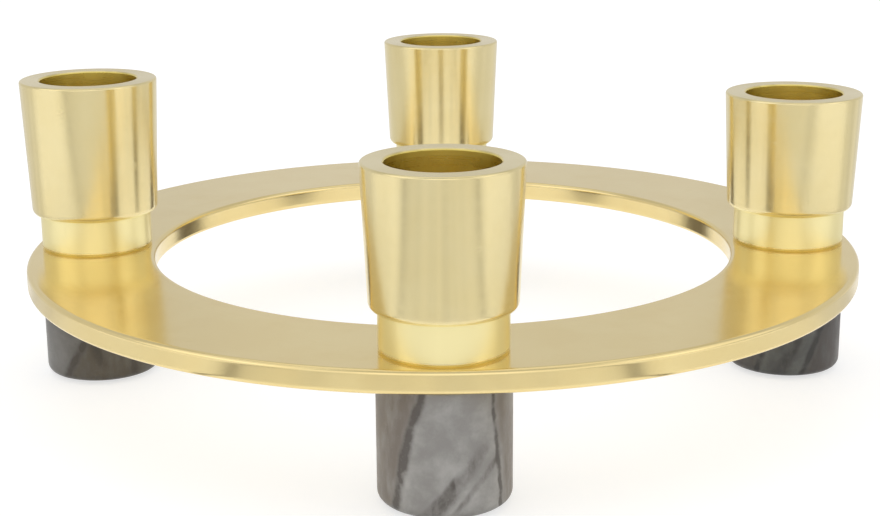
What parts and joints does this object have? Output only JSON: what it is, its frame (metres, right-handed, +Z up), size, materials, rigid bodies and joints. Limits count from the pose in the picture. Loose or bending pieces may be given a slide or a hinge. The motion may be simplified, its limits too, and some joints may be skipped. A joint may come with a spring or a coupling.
{
  "type": "advent candle holder",
  "caption": "Flat brass ring on short marble feet with turned brass candle cups standing on it, each cup clamped by a screw from below; holds candles in a circle.",
  "frame": {"origin": "middle of the ring at table level, under the felt pads", "axes": "+Z up, -Y towards the front cup, +X towards the right-hand cup"},
  "size_m": [0.2026, 0.2026, 0.073],
  "materials": {
    "brass": "satin polished",
    "marble": "honed",
    "steel": "zinc plated",
    "felt": "felt"
  },
  "bodies": {
    "stand": {"ring_plate": "brass", "marble_foot_front": "marble", "load_washer_front": "steel", "felt_pad_front": "felt", "marble_foot_right": "marble", "load_washer_right": "steel", "felt_pad_right": "felt", "marble_foot_back": "marble", "load_washer_back": "steel", "felt_pad_back": "felt", "marble_foot_left": "marble", "load_washer_left": "steel", "felt_pad_left": "felt"},
    "screw_front": {"clamp_screw_front": "steel"},
    "cup_front": {"candle_cup_front": "brass"},
    "screw_right": {"clamp_screw_right": "steel"},
    "cup_right": {"candle_cup_right": "brass"},
    "screw_back": {"clamp_screw_back": "steel"},
    "cup_back": {"candle_cup_back": "brass"},
    "screw_left": {"clamp_screw_left": "steel"},
    "cup_left": {"candle_cup_left": "brass"}
  },
  "joints": [
    {"name": "screw_turn_front", "type": "hinge", "parent": "stand", "child": "screw_front", "pos_m": [0, -0.085, 0], "axis": [0, 0, -1], "range_deg": [0, 4050]},
    {"name": "cup_lift_front", "type": "slide", "parent": "stand", "child": "cup_front", "axis": [0, 0, 1], "range_m": [0, 0.009]},
    {"name": "screw_turn_right", "type": "hinge", "parent": "stand", "child": "screw_right", "pos_m": [0.085, 0, 0], "axis": [0, 0, -1], "range_deg": [0, 4050]},
    {"name": "cup_lift_right", "type": "slide", "parent": "stand", "child": "cup_right", "axis": [0, 0, 1], "range_m": [0, 0.009]},
    {"name": "screw_turn_back", "type": "hinge", "parent": "stand", "child": "screw_back", "pos_m": [0, 0.085, 0], "axis": [0, 0, -1], "range_deg": [0, 4050]},
    {"name": "cup_lift_back", "type": "slide", "parent": "stand", "child": "cup_back", "axis": [0, 0, 1], "range_m": [0, 0.009]},
    {"name": "screw_turn_left", "type": "hinge", "parent": "stand", "child": "screw_left", "pos_m": [-0.085, 0, 0], "axis": [0, 0, -1], "range_deg": [0, 4050]},
    {"name": "cup_lift_left", "type": "slide", "parent": "stand", "child": "cup_left", "axis": [0, 0, 1], "range_m": [0, 0.009]}
  ],
  "couplings": [
    {"joint": "screw_turn_front", "follows": "cup_lift_front", "rad_per_m": 7854},
    {"joint": "screw_turn_right", "follows": "cup_lift_right", "rad_per_m": 7854},
    {"joint": "screw_turn_back", "follows": "cup_lift_back", "rad_per_m": 7854},
    {"joint": "screw_turn_left", "follows": "cup_lift_left", "rad_per_m": 7854}
  ]
}
